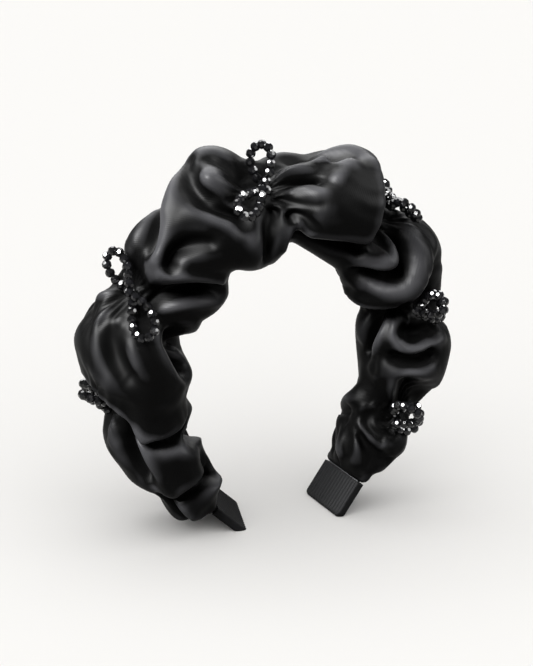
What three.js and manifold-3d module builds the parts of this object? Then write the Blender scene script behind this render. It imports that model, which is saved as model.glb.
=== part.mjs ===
// Ruched satin headband with beaded bows, in millimetres, +Z up, standing on its two tips.
//
// A springy band carries everything. A satin tube is gathered over it and pulled in at six
// places, where a bow of faceted beads is sewn on. A ribbed ribbon sleeve closes each end.
//
// Every piece is placed by a station, the distance in mm along the band from the left tip, and
// by an angle in degrees around it: 0 faces out, 90 the front (-Y), 180 the head, -90 the rear.

import * as THREE from "three";
import { ParametricGeometry } from "three/addons/geometries/ParametricGeometry.js";
import { mergeVertices } from "three/addons/utils/BufferGeometryUtils.js";
import Module from "manifold-3d";

// ---- driving dimensions ---------------------------------------------------------------------

const ARCH = {
  leftFoot: 19,         // each tip from the middle
  rightFoot: 21.5,
  leftReach: 69,        // widest point of each side from the middle
  rightReach: 58,
  widestHeight: 82,
  crownX: -5,
  crownHeight: 153,
  leftSplay: 56,        // degrees of each tip from upright
  rightSplay: 28,
  tipHandle: 30,        // how far the curve keeps the tip's direction
  sideHandle: 33,
  crownHandle: 0.56,    // share of the way between the widest point and the crown
};
const SLEEVE_LENGTH = 20;
const SLEEVE = { halfWidth: 15.8, halfThick: 2.3, wall: 1.3, ribs: 14, ribHeight: 0.3, cornerRadius: 3, hem: 5 };
const BAND = { halfWidth: 8.5, tipHalfWidth: 13.5, thick: 1.4, flareFrom: 22, flareTo: 34, tipInset: 5.5 };
const CLOTH_WALL = 2;
const PIECE_GAP = 0.3;
const YAW = { left: -7, right: 11, settle: 40 };   // degrees that the ends turn to fit the head
const BEAD = { diameter: 4.5, sides: 10, waist: 0.45 };
const SATIN_STATIONS = 56;
const SATIN_AROUND = 22;
const MM_PER_DEGREE = 0.384;   // arc length of a degree around the satin
const FLOOR_CUT = 1.4;         // height that the sleeves lose where they stand

// ---- the arch -------------------------------------------------------------------------------

const radians = THREE.MathUtils.degToRad;
const upright = (x, z) => new THREE.Vector3(x, 0, z);

function archCurve() {
  const { leftFoot, rightFoot, leftReach, rightReach, widestHeight, crownX, crownHeight } = ARCH;
  const { leftSplay, rightSplay, tipHandle, sideHandle, crownHandle } = ARCH;
  const leftTip = upright(-leftFoot, 0);
  const left = upright(-leftReach, widestHeight);
  const crown = upright(crownX, crownHeight);
  const right = upright(rightReach, widestHeight);
  const rightTip = upright(rightFoot, 0);
  const leftAway = upright(-Math.sin(radians(leftSplay)), Math.cos(radians(leftSplay)));
  const rightAway = upright(Math.sin(radians(rightSplay)), Math.cos(radians(rightSplay)));
  const rise = (crownHeight - widestHeight) * crownHandle;
  const leftRun = (crownX + leftReach) * crownHandle;
  const rightRun = (rightReach - crownX) * crownHandle;
  const from = (point, direction, length) => point.clone().addScaledVector(direction, length);
  const up = upright(0, 1);
  const across = upright(1, 0);
  const path = new THREE.CurvePath();
  path.add(new THREE.CubicBezierCurve3(
    leftTip, from(leftTip, leftAway, tipHandle), from(left, up, -sideHandle), left));
  path.add(new THREE.CubicBezierCurve3(
    left, from(left, up, rise), from(crown, across, -leftRun), crown));
  path.add(new THREE.CubicBezierCurve3(
    crown, from(crown, across, rightRun), from(right, up, rise), right));
  path.add(new THREE.CubicBezierCurve3(
    right, from(right, up, -sideHandle), from(rightTip, rightAway, tipHandle), rightTip));
  return path;
}

const arch = archCurve();
const ARCH_LENGTH = arch.getLength();
const SATIN_START = SLEEVE_LENGTH + PIECE_GAP;
const SATIN_END = ARCH_LENGTH - SATIN_START;

function yawAt(station) {
  const fromLeft = THREE.MathUtils.smoothstep(station, SLEEVE_LENGTH, SLEEVE_LENGTH + YAW.settle);
  const fromRight = THREE.MathUtils.smoothstep(
    ARCH_LENGTH - station, SLEEVE_LENGTH, SLEEVE_LENGTH + YAW.settle);
  return radians(YAW.left * (1 - fromLeft) + YAW.right * (1 - fromRight));
}

// The cross-section's frame at a station: along the band, out of the arch, and to the front.
// Within the sleeves the band is straight.
function frameAt(station) {
  const step = 0.5;
  const onArch = THREE.MathUtils.clamp(station, SLEEVE_LENGTH, ARCH_LENGTH - SLEEVE_LENGTH);
  const point = (s) => arch.getPoint(s / ARCH_LENGTH);
  const along = point(onArch + step).sub(point(onArch - step)).normalize();
  const centre = point(onArch).addScaledVector(along, station - onArch);
  const yaw = yawAt(station);
  const out = new THREE.Vector3(-along.z, 0, along.x).applyAxisAngle(new THREE.Vector3(0, 0, 1), yaw);
  const front = new THREE.Vector3(Math.sin(yaw), -Math.cos(yaw), 0);
  return { centre, along, out, front };
}

function at(station, out, front, along = 0) {
  const frame = frameAt(station);
  return frame.centre
    .addScaledVector(frame.out, out)
    .addScaledVector(frame.front, front)
    .addScaledVector(frame.along, along);
}

// ---- closed skins ---------------------------------------------------------------------------

function withoutSlivers(geometry) {
  const index = geometry.index.array;
  const kept = [];
  for (let i = 0; i < index.length; i += 3) {
    const [a, b, c] = [index[i], index[i + 1], index[i + 2]];
    if (a !== b && b !== c && c !== a) kept.push(a, b, c);
  }
  geometry.setIndex(kept);
  return geometry;
}

function facingOut(geometry) {
  const index = geometry.index.array;
  const corner = (i) => new THREE.Vector3().fromBufferAttribute(geometry.attributes.position, index[i]);
  let volume = 0;
  for (let i = 0; i < index.length; i += 3) volume += corner(i).dot(corner(i + 1).cross(corner(i + 2)));
  if (volume < 0) geometry.setIndex(Array.from(index).reverse());
  return geometry;
}

// A skin through rings that each have the same number of points. Its last ring meets its first
// where the skin closes on itself, and a ring of equal points is a pole.
function skin(rings, closesOnItself) {
  const steps = rings[0].length;
  const spans = closesOnItself ? rings.length : rings.length - 1;
  const point = (u, v, target) => {
    const ring = rings[Math.round(v * spans) % rings.length];
    target.copy(ring[Math.round(u * steps) % steps]);
  };
  const geometry = new ParametricGeometry(point, steps, spans);
  geometry.deleteAttribute("normal");
  geometry.deleteAttribute("uv");
  return facingOut(withoutSlivers(mergeVertices(geometry, 1e-4)));
}

// ---- satin ----------------------------------------------------------------------------------

// The tube under its folds: a rounded section at each station.
const SECTIONS = [
  // station, out, front, head, rear: reach from the band's middle
  [20, 9, 18, 5.5, 17.5],
  [28, 13, 19, 7, 18],
  [41, 14, 19.5, 9, 19.5],
  [55, 20, 21, 11, 21],
  [69, 21, 22, 15, 22],
  [87, 12, 22, 24, 22],
  [107, 25, 25, 22.5, 25],
  [123, 18, 23, 18, 23],
  [133, 12, 21, 24.5, 22],
  [151, 16, 24, 28, 24],
  [167, 13, 25, 20, 25],
  [185, 27, 25, 26, 25],
  [201, 12, 22, 25, 22],
  [217, 9, 24, 14, 21],
  [233, 28, 25, 16, 24],
  [243, 21, 24, 18, 24],
  [251, 14, 21, 18, 22],
  [269, 24, 24, 17, 22],
  [289, 12, 19, 17, 21],
  [297, 13, 21, 16, 22],
  [312, 20, 23, 17, 23],
  [326, 19, 21, 15, 21],
  [343, 13, 17, 16, 18],
  [356, 10, 17.5, 14, 18],
  [370, 5, 16.5, 10, 17.5],
  [381, 6, 17.5, 5.5, 17.5],
];
const SQUARENESS = 2.3;   // 2 would be an ellipse

// Each fold is a line drawn round the tube: its start, middle and end, each as a station, an
// angle and a distance from the band's middle. Ridges are far out and valleys close in. Reach is
// how far to each side it shapes the satin, and lean pushes its crest along the band.
const FOLDS = [
  // station, angle, radius, station, angle, radius, station, angle, radius, reach, lean
  // two lobes by the left sleeve
  [24, 34, 17, 33, 28, 18, 44, 20, 13.5, 7, -2],
  [24, 92, 18, 30, 92, 22, 37, 92, 20, 8, 0],
  [22, 68, 22, 34, 66, 23, 47, 70, 21, 4, -2],
  [25, 54, 13, 34, 52, 14, 46, 54, 13, 3, 0],
  // the petal over them
  [49, 64, 25, 46, 94, 26, 44, 130, 15, 5, -2],
  [42, 66, 16, 39, 95, 16, 38, 130, 10.5, 3, 0],
  [53, 90, 26, 63, 92, 26, 73, 92, 22, 11, 0],
  [49, 68, 25, 62, 70, 26, 78, 67, 23, 4, 0],
  [83, 56, 11.5, 71, 52, 12.5, 57, 54, 16, 4.5, 0],
  [85, 28, 15, 73, 24, 22, 59, 26, 21, 6, 0],
  [58, 0, 21, 53, 34, 22, 50, 60, 22, 6, -1],
  [60, 128, 15, 61, 150, 9, 62, 180, 8, 3, 0],
  [65, 140, 20, 72, 148, 22, 79, 162, 19, 5, 0],
  // the big left puff
  [102, -14, 23, 96, 42, 26, 85, 64, 26, 5, -3],
  [84, 65, 26, 70, 98, 27, 73, 140, 20, 5, -3],
  [80, 70, 15, 65, 97, 16, 67, 140, 11.5, 3, 0],
  [105, -14, 26, 113, -14, 27, 121, -10, 21, 8, 0],
  [120, 14, 25, 107, 26, 28, 100, 48, 28, 5, 0],
  [100, 48, 28, 97, 65, 29, 104, 78, 28, 5, 0],
  [120, 42, 16.5, 111, 47, 16.5, 104, 57, 19.5, 6, 0],
  [117, 92, 25, 105, 98, 27, 87, 100, 27, 9, 0],
  [122, 107, 21, 108, 117, 26, 97, 134, 25, 4, 0],
  [119, 124, 12.5, 109, 135, 12.5, 101, 152, 13, 4, 0],
  [107, 170, 21, 96, 167, 26, 85, 160, 24, 7, 0],
  [120, -22, 18, 128, 6, 22, 132, 38, 19, 4, 2],
  [131, -28, 16, 134, -5, 15, 135, 18, 13, 3, 0],
  [92, 0, 12.5, 90, 34, 12.5, 83, 50, 12.5, 4, 0],
  // the outer side under the top left puff
  [139, 6, 15, 149, 6, 20, 160, -8, 18, 7, 0],
  [170, -24, 13, 161, 18, 12.5, 152, 42, 15, 4, 0],
  // the top left puff: its rim, its deep hollow, its belly and its dish
  [184, -18, 29.5, 168, 14, 29, 157, 38, 28, 5, -2],
  [157, 38, 28, 149, 62, 27, 152, 88, 28, 5, 0],
  [152, 88, 28, 157, 112, 29, 158, 148, 30, 4, 0],
  [167, 44, 17.5, 158, 60, 12.5, 159, 86, 16, 6, 0],
  [166, 34, 27, 173, 60, 30, 189, 94, 30, 8, 0],
  [181, 4, 17.5, 177, 34, 14, 187, 74, 15, 5, 0],
  [179, -4, 31, 187, -16, 31, 195, -6, 21, 6, 0],
  [189, 0, 24.5, 188, 28, 22, 195, 44, 14, 6, 0],
  [160, 100, 26, 164, 114, 29, 169, 134, 28, 5, 0],
  [177, 104, 28, 184, 114, 31, 193, 128, 31, 7, 0],
  [175, 170, 23, 186, 168, 28, 199, 162, 28, 7, 0],
  [205, 86, 12.5, 201, 100, 16, 198, 114, 22, 3, 0],
  [205, 90, 19, 208, 108, 26, 207, 130, 28, 4.5, 0],
  // the lobe under the second bow
  [133, 84, 11, 143, 101, 12.5, 155, 134, 17.5, 5.5, 0],
  [129, 96, 17, 141, 122, 27, 151, 156, 32, 6, 0],
  [131, 162, 27, 142, 170, 31, 154, 168, 32, 7, 0],
  [119, 118, 11.5, 114, 145, 12.5, 112, 178, 13, 3.5, 0],
  // behind the crown
  [204, 42, 13, 211, 30, 22, 220, 34, 21, 5, 0],
  [204, 53, 9.5, 211, 49, 13, 220, 50, 14, 3.5, 0],
  // the curled puff
  [216, 16, 15, 223, 22, 9, 226, 36, 11.5, 5, 0],
  [218, 0, 16, 229, -8, 32, 240, 4, 27, 7, 0],
  [230, 0, 32, 238, 12, 33, 235, 34, 29, 5, 0],
  [204, 68, 16, 215, 57, 26, 233, 37, 29, 4, 0],
  [223, 78, 28, 233, 80, 29, 241, 80, 28, 9, 0],
  [207, 83, 17, 218, 83, 26, 229, 84, 29, 5, 0],
  [240, 12, 28.5, 244, 58, 29, 244, 102, 27, 6, 3],
  [248, 14, 12.5, 251, 60, 9.5, 252, 86, 12.5, 4, 0],
  [208, 92, 19, 223, 113, 27, 245, 98, 27, 5, 0],
  [212, 118, 13, 225, 125, 13, 247, 112, 14, 3.5, 0],
  [219, 146, 18, 234, 146, 21, 248, 137, 21, 7, 0],
  // the small lobe and the crescent
  [252, 64, 18, 264, 86, 26, 252, 118, 24, 5, 2],
  [257, 58, 13, 269, 88, 12.5, 260, 122, 12.5, 3.5, 0],
  [265, 34, 25, 279, 84, 28, 269, 134, 24, 6, 2],
  [263, 16, 23, 272, 10, 28, 282, 14, 25.5, 7, 0],
  [268, 158, 22, 277, 146, 26, 284, 108, 25, 4, 1],
  [285, 160, 11.5, 289, 132, 9.5, 290, 104, 10, 4, 0],
  // the right puff
  [289, 110, 15, 299, 115, 24, 307, 108, 26, 4, 0],
  [307, 108, 26, 310, 92, 27, 307, 54, 26, 5, 0],
  [301, 104, 13, 304, 90, 11.5, 303, 54, 15, 4, 0],
  [322, 140, 21, 321, 104, 27, 317, 58, 25, 5, 1],
  [313, 114, 17.5, 314, 95, 16.5, 312, 72, 17.5, 3.5, 0],
  [324, 110, 25, 332, 113, 22, 343, 104, 13, 4, 0],
  [326, 98, 15, 331, 90, 12, 339, 78, 11.5, 5, 0],
  [322, 127, 24, 332, 129, 21, 342, 118, 14, 5, 0],
  [291, 119, 16, 302, 135, 24, 315, 147, 21, 3, 0],
  [292, 137, 10.5, 303, 150, 13, 315, 162, 12.5, 3, 0],
  [292, 174, 16, 302, 176, 21, 313, 176, 19, 5, 0],
  // small gathers by the right sleeve
  [320, 166, 18, 328, 160, 19, 335, 142, 19, 5, 0],
  [339, 174, 12.5, 337, 155, 10.5, 338, 134, 9.5, 3, 0],
  [346, 190, 21, 349, 170, 23, 348, 146, 19, 4.5, 0],
  [354, 142, 17, 362, 122, 18, 360, 102, 18, 3.5, 0],
  [347, 92, 14, 356, 80, 20, 367, 84, 18, 5, 0],
  [358, 128, 19, 368, 124, 18, 379, 121, 14, 4, 0],
];

// Where the satin is pulled in to the band and a bow is sewn on.
const PINCHES = [
  // station, angle, radius, reach
  [87, 12, 8.5, 6],
  [133, 30, 8.5, 7],
  [201, 45, 9, 8],
  [250, 28, 11, 6],
  [289, 50, 9, 6],
  [343, 75, 11, 6],
];
const REST_WEIGHT = 0.06;   // pull of the tube's own section between folds
const RIDGE_SOFTNESS = 0.6;   // a ridge is broad and soft
const CREASE_SOFTNESS = 0.3;  // and a crease is sharp
const FALLOFF = 2.6;
const FADE_FROM = 2;        // a fold fades out between these multiples of its reach
const FADE_TO = 3.2;
const END_EASE = 9;         // mm over which the folds calm down at each sleeve

function sectionAt(station) {
  let row = 0;
  while (row < SECTIONS.length - 2 && station > SECTIONS[row + 1][0]) row += 1;
  const [low, high] = [SECTIONS[row], SECTIONS[row + 1]];
  const share = THREE.MathUtils.smoothstep(station, low[0], high[0]);
  return low.map((value, column) => THREE.MathUtils.lerp(value, high[column], share));
}

function sectionRadius(station, angle) {
  const [, out, front, head, rear] = sectionAt(station);
  const cosine = Math.cos(radians(angle));
  const sine = Math.sin(radians(angle));
  const depth = Math.abs(cosine) / (cosine > 0 ? out : head);
  const width = Math.abs(sine) / (sine > 0 ? front : rear);
  return (depth ** SQUARENESS + width ** SQUARENESS) ** (-1 / SQUARENESS);
}

// Plain folds on the rear, from pinch to pinch, over the tube's own section.
function rearFolds() {
  const ridgeAngles = [-38, -74, -110, -146];
  const stops = [SATIN_START, ...PINCHES.map(([station]) => station), SATIN_END];
  const folds = [];
  const fold = (stations, angles, swell, reach) => {
    const row = stations.flatMap((s, k) => [s, angles[k], sectionRadius(s, angles[k]) * swell[k]]);
    folds.push([...row, reach, 0]);
  };
  for (let i = 0; i + 1 < stops.length; i += 1) {
    const [start, end] = [stops[i] + 7, stops[i + 1] - 7];
    ridgeAngles.forEach((angle, j) => {
      const slant = (i + j) % 2 ? -7 : 7;
      const middle = (start + end) / 2 + (j % 2 ? -4 : 4);
      fold([start, middle, end], [angle + slant, angle, angle - slant], [0.95, 1.1, 0.95], 6);
      if (j === ridgeAngles.length - 1) return;
      const valley = angle - 18;
      fold([start, middle, end], [valley + slant, valley, valley - slant], [0.8, 0.86, 0.8], 3);
    });
    if (i > 0) fold([stops[i], stops[i] + 1, stops[i]], [-50, -95, -150], [0.8, 0.82, 0.82], 3);
  }
  return folds;
}

const turn = (angle) => THREE.MathUtils.euclideanModulo(angle + 180, 360) - 180;

// A fold as short straight steps through its three given points.
function foldSteps([s0, a0, r0, s1, a1, r1, s2, a2, r2, reach, lean]) {
  const start = new THREE.Vector3(s0, a0, r0);
  const end = new THREE.Vector3(s2, a2, r2);
  const middle = new THREE.Vector3(s1, a1, r1);
  const handle = middle.multiplyScalar(2).addScaledVector(start, -0.5).addScaledVector(end, -0.5);
  const softness = r1 > sectionRadius(s1, a1) ? RIDGE_SOFTNESS : CREASE_SOFTNESS;
  return { points: new THREE.QuadraticBezierCurve3(start, handle, end).getPoints(10), reach, lean, softness };
}

const foldLines = [...FOLDS, ...rearFolds()].map(foldSteps);

// The nearest point of a fold: how far away it is and how far out the fold lies there.
function nearestOnFold(points, station, angle) {
  let best = { distance: Infinity, radius: 0 };
  for (let i = 0; i + 1 < points.length; i += 1) {
    const [from, to] = [points[i], points[i + 1]];
    const run = to.x - from.x;
    const rise = (to.y - from.y) * MM_PER_DEGREE;
    const x = station - from.x;
    const y = turn(angle - from.y) * MM_PER_DEGREE;
    const share = THREE.MathUtils.clamp((x * run + y * rise) / (run * run + rise * rise), 0, 1);
    const distance = Math.hypot(x - share * run, y - share * rise);
    if (distance < best.distance) {
      best = { distance, radius: THREE.MathUtils.lerp(from.z, to.z, share) };
    }
  }
  return best;
}

const weigh = (distance, reach, softness) =>
  (Math.hypot(distance, softness * reach) / reach) ** -FALLOFF *
  THREE.MathUtils.clamp((FADE_TO - distance / reach) / (FADE_TO - FADE_FROM), 0, 1);

// The satin is drawn over all the folds near a point, each by its own weight.
function satinAt(station, angle) {
  const plain = sectionRadius(station, angle);
  let total = plain * REST_WEIGHT;
  let weights = REST_WEIGHT;
  let shift = 0;
  for (const { points, reach, lean, softness } of foldLines) {
    const { distance, radius } = nearestOnFold(points, station, angle);
    const weight = weigh(distance, reach, softness);
    total += weight * radius;
    weights += weight;
    shift += lean * Math.exp(-((distance / (0.9 * reach)) ** 2));
  }
  for (const [pinchStation, pinchAngle, radius, reach] of PINCHES) {
    const distance = Math.hypot(station - pinchStation, turn(angle - pinchAngle) * MM_PER_DEGREE);
    const weight = 1.5 * weigh(distance, reach, 0.35);
    total += weight * radius;
    weights += weight;
  }
  const fromEnd = Math.min(station - SATIN_START, SATIN_END - station);
  const settle = THREE.MathUtils.smoothstep(fromEnd, 0, END_EASE);
  return { radius: THREE.MathUtils.lerp(plain, total / weights, settle), shift: shift * settle };
}

function satinRing(station, wall) {
  const ring = [];
  for (let i = 0; i < SATIN_AROUND; i += 1) {
    const angle = (i * 360) / SATIN_AROUND - 180;
    const { radius, shift } = satinAt(station, angle);
    const reach = radius - wall;
    ring.push(at(station, reach * Math.cos(radians(angle)), reach * Math.sin(radians(angle)), shift));
  }
  return ring;
}

function satinCover() {
  const stations = [];
  for (let i = 0; i < SATIN_STATIONS; i += 1) {
    stations.push(THREE.MathUtils.lerp(SATIN_START, SATIN_END, i / (SATIN_STATIONS - 1)));
  }
  const outside = stations.map((station) => satinRing(station, 0));
  const inside = stations.map((station) => satinRing(station, CLOTH_WALL)).reverse();
  return skin([...outside, ...inside], true);
}

// ---- band and sleeves -----------------------------------------------------------------------

function bandHalfWidth(station) {
  const fromEnd = Math.min(station, ARCH_LENGTH - station);
  const flare = THREE.MathUtils.smoothstep(fromEnd, BAND.flareFrom, BAND.flareTo);
  return THREE.MathUtils.lerp(BAND.tipHalfWidth, BAND.halfWidth, flare);
}

function band() {
  const steps = 46;
  const rings = [];
  for (let i = 0; i <= steps; i += 1) {
    const station = THREE.MathUtils.lerp(BAND.tipInset, ARCH_LENGTH - BAND.tipInset, i / steps);
    const width = bandHalfWidth(station);
    const corners = [[1, -1], [1, 1], [-1, 1], [-1, -1]];
    rings.push(corners.map(([out, front]) => at(station, (out * BAND.thick) / 2, front * width)));
  }
  const pole = (ring) => {
    const middle = ring.reduce((sum, point) => sum.add(point), new THREE.Vector3());
    return ring.map(() => middle.clone().divideScalar(ring.length));
  };
  return skin([pole(rings[0]), ...rings, pole(rings.at(-1))], false);
}

// A flattened ring round the band: rounded edges, and ribs across both faces where asked for.
function sleeveRing(station, halfWidth, halfThick, ribHeight) {
  const ring = [];
  const pitch = (2 * (halfWidth - halfThick)) / SLEEVE.ribs;
  for (const side of [1, -1]) {
    for (let i = 0; i <= 2 * SLEEVE.ribs; i += 1) {
      const across = side * (halfWidth - halfThick - (i * pitch) / 2);
      const rib = i % 2 ? 0 : ribHeight;
      ring.push(at(station, side * (halfThick - rib), across));
    }
    ring.push(at(station, 0, -side * halfWidth));
  }
  return ring;
}

function sleeve(stationOf) {
  const { halfWidth, halfThick, wall, ribHeight, cornerRadius, hem } = SLEEVE;
  const inner = (depth) => sleeveRing(stationOf(depth), halfWidth - wall, halfThick - wall, 0);
  const outer = (depth) => sleeveRing(stationOf(depth), halfWidth, halfThick, ribHeight);
  const pole = (depth) => inner(depth).map(() => at(stationOf(depth), 0, 0));
  return skin([
    pole(hem),
    inner(hem),
    inner(SLEEVE_LENGTH),
    outer(SLEEVE_LENGTH),
    outer(cornerRadius),
    sleeveRing(stationOf(0.25 * cornerRadius), halfWidth - 0.3 * cornerRadius, halfThick, ribHeight),
    sleeveRing(stationOf(0), halfWidth - cornerRadius, halfThick - 0.4, ribHeight),
    pole(0),
  ], false);
}

// ---- bead bows ------------------------------------------------------------------------------

// A bow is one closed string in a figure of eight. It crosses itself at the pinch, where one
// strand lies on the other, and its two loops point in directions of their own.
const BOWS = [
  // the crossing's station, angle and radius, then for each loop its length and half width, the
  // direction it points in and the direction it is wide in
  { name: "bow_1", beads: 20, crossing: [85, 6, 13.45], loops: [
    { length: 16, halfWidth: 3.2, toward: [-0.8, -0.3, 0.5], wide: [-0.2, 0.9, 0.3] },
    { length: 18, halfWidth: 3.2, toward: [-0.5, 0.8, 0.3], wide: [0.75, 0.25, -0.6] }] },
  { name: "bow_2", beads: 24, crossing: [134.5, 50, 17.65], loops: [
    { length: 21, halfWidth: 4, toward: [-0.3, 0.6, 0.7], wide: [0.6, -0.15, 0.75] },
    { length: 23, halfWidth: 4.5, toward: [0.15, -0.75, -0.65], wide: [0.85, -0.35, 0.4] }] },
  { name: "bow_3", beads: 24, crossing: [200, 56, 17.9], loops: [
    { length: 20, halfWidth: 4.6, toward: [0, 0.45, 0.9], wide: [0.75, -0.6, 0.25] },
    { length: 24, halfWidth: 4, toward: [-0.65, -0.7, -0.2], wide: [0.6, -0.4, -0.7] }] },
  { name: "bow_4", beads: 20, crossing: [254, 14, 20.4], loops: [
    { length: 15, halfWidth: 4.4, toward: [0.3, -0.95, 0], wide: [-0.1, 0.9, -0.35] },
    { length: 19, halfWidth: 3.6, toward: [0.15, 0.95, 0.2], wide: [0.1, -0.3, -0.95] }] },
  { name: "bow_5", beads: 20, crossing: [291, 78, 19.65], loops: [
    { length: 17, halfWidth: 3.2, toward: [0.4, -0.85, 0.35], wide: [-0.25, -0.1, 0.95] },
    { length: 18.5, halfWidth: 4, toward: [0.85, 0.5, -0.25], wide: [-0.6, 0.25, 0.75] }] },
  { name: "bow_6", beads: 20, crossing: [346, 92, 16.9], loops: [
    { length: 20, halfWidth: 4.4, toward: [0.15, -0.85, 0.5], wide: [-0.6, -0.45, 0.65] },
    { length: 13, halfWidth: 3.6, toward: [1, 0, -0.1], wide: [0.15, 0, 1] }] },
];

function bowCurve({ crossing: [station, angle, radius], loops }) {
  const centre = at(station, radius * Math.cos(radians(angle)), radius * Math.sin(radians(angle)));
  const [first, second] = loops.map(({ length, halfWidth, toward, wide }) => {
    const along = new THREE.Vector3(...toward).normalize();
    const across = new THREE.Vector3(...wide);
    across.addScaledVector(along, -across.dot(along)).normalize();
    return { length, halfWidth, along, across };
  });
  const stack = new THREE.Vector3().crossVectors(first.along, first.across);
  if (stack.dot(frameAt(station).out) < 0) stack.negate();
  const apart = BEAD.diameter / 2 + PIECE_GAP;
  const points = [];
  const samples = 240;
  for (let i = 0; i < samples; i += 1) {
    const t = (i / samples) * 2 * Math.PI;
    const loop = Math.sin(t) >= 0 ? first : second;
    const along = loop.length * Math.abs(Math.sin(t)) ** 1.15;
    const across = loop.halfWidth * 1.3 * Math.sin(2 * t) * (Math.sin(t) >= 0 ? 1 : -1);
    points.push(centre.clone()
      .addScaledVector(loop.along, along)
      .addScaledVector(loop.across, across)
      .addScaledVector(stack, apart * Math.cos(t)));
  }
  return new THREE.CatmullRomCurve3(points, true);
}

// Beads side by side along the string: full width in the middle of each and a waist between.
function bow(row) {
  const curve = bowCurve(row);
  const rings = 2 * row.beads;
  const pitch = curve.getLength() / row.beads;
  const size = Math.min(pitch, BEAD.diameter) / 2;
  const frames = curve.computeFrenetFrames(rings, true);
  const beads = [];
  for (let i = 0; i < rings; i += 1) {
    const radius = i % 2 ? size : size * BEAD.waist;
    const middle = curve.getPointAt(i / rings);
    const ring = [];
    for (let j = 0; j < BEAD.sides; j += 1) {
      const turnBy = (j / BEAD.sides) * 2 * Math.PI;
      ring.push(middle.clone()
        .addScaledVector(frames.normals[i], radius * Math.cos(turnBy))
        .addScaledVector(frames.binormals[i], radius * Math.sin(turnBy)));
    }
    beads.push(ring);
  }
  return skin(beads, true);
}

// ---- flat feet ------------------------------------------------------------------------------

const wasm = await Module();
wasm.setup();

function toSolid(geometry) {
  return new wasm.Manifold(new wasm.Mesh({
    numProp: 3,
    vertProperties: new Float32Array(geometry.attributes.position.array),
    triVerts: new Uint32Array(geometry.index.array),
  }));
}

function toGeometry(solid) {
  const mesh = solid.getMesh();
  const geometry = new THREE.BufferGeometry();
  geometry.setAttribute("position", new THREE.BufferAttribute(new Float32Array(mesh.vertProperties), 3));
  geometry.setIndex(new THREE.BufferAttribute(new Uint32Array(mesh.triVerts), 1));
  return geometry;
}

// Ribbon is pressed flat where it stands, so what would reach below the floor is cut away.
function standing(geometry, floorHeight) {
  const size = 4 * ARCH.crownHeight;
  const below = new THREE.BoxGeometry(size, size, size).translate(0, 0, floorHeight - size / 2);
  below.deleteAttribute("normal");
  below.deleteAttribute("uv");
  return toGeometry(toSolid(geometry).subtract(toSolid(mergeVertices(below))));
}

// ---- assembly -------------------------------------------------------------------------------

const MATERIALS = {
  satin: new THREE.MeshStandardMaterial({ color: 0x17171a, roughness: 0.45, metalness: 0 }),
  ribbon: new THREE.MeshStandardMaterial({ color: 0x1d1d1f, roughness: 0.85, metalness: 0 }),
  band: new THREE.MeshStandardMaterial({ color: 0x101012, roughness: 0.6, metalness: 0 }),
  bead: new THREE.MeshStandardMaterial({ color: 0x0a0a0c, roughness: 0.08, metalness: 0.2 }),
};

const model = new THREE.Group();
function add(name, geometry, material) {
  const mesh = new THREE.Mesh(geometry, material);
  mesh.name = name;
  model.add(mesh);
}

const sleeves = [sleeve((depth) => depth), sleeve((depth) => ARCH_LENGTH - depth)];
const lowest = sleeves.map((geometry) => new THREE.Box3().setFromBufferAttribute(geometry.attributes.position).min.z);
const floorHeight = Math.max(...lowest) + FLOOR_CUT;
const [leftSleeve, rightSleeve] = sleeves.map((geometry) => standing(geometry, floorHeight));

add("band", band(), MATERIALS.band);
add("satin_cover", satinCover(), MATERIALS.satin);
add("end_sleeve_left", leftSleeve, MATERIALS.ribbon);
add("end_sleeve_right", rightSleeve, MATERIALS.ribbon);
for (const row of BOWS) add(row.name, bow(row), MATERIALS.bead);

// The model stands on the floor at z = 0, centred on the origin.
const box = new THREE.Box3().setFromObject(model);
const centre = box.getCenter(new THREE.Vector3());
model.position.set(-centre.x, -centre.y, -box.min.z);

const headband = new THREE.Group();
headband.add(model);
export default headband;
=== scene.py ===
# %% [markdown]
# # A ruched satin headband with beaded bows
#
# The headband is a springy arch inside a wide tube of black satin. Six stitches pull the satin in,
# and between them it stands in deep puffs. A small bow of faceted beads is sewn over each stitch,
# and a sleeve of ribbed ribbon closes each tip.
#
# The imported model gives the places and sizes. It is loaded first, and everything made here is
# placed from it.

# %% Load the frame
import math
import random

import bmesh
import bpy
import numpy as np
from mathutils import Matrix, Vector


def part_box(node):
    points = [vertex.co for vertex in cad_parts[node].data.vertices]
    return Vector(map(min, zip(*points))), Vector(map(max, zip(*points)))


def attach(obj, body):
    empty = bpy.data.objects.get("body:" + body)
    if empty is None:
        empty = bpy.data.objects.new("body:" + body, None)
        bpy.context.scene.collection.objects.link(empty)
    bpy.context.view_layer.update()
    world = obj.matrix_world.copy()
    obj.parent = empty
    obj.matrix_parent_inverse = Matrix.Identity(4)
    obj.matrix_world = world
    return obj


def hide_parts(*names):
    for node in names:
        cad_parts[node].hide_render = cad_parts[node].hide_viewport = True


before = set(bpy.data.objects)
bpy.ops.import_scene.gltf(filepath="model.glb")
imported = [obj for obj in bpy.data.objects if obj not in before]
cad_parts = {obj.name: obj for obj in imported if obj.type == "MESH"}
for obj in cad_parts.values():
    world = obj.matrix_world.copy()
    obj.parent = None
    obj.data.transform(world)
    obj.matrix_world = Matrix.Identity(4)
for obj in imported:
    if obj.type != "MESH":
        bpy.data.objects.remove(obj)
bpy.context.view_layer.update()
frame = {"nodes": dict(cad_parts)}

MM = 0.001
print("CAD nodes:", ", ".join(frame["nodes"]))

# %% [markdown]
# ## The arch
#
# Everything follows one line: the middle of the hidden band, from the left tip over the crown to
# the right tip. Four Bezier curves make it, because each needs only its end points and the
# directions there. A handle sets how far a curve keeps its direction before it bends away. A place
# on the headband is then a station, the distance along this line, and an angle around it: 0 faces
# out, 90 the front, 180 the head and -90 the rear.

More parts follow.
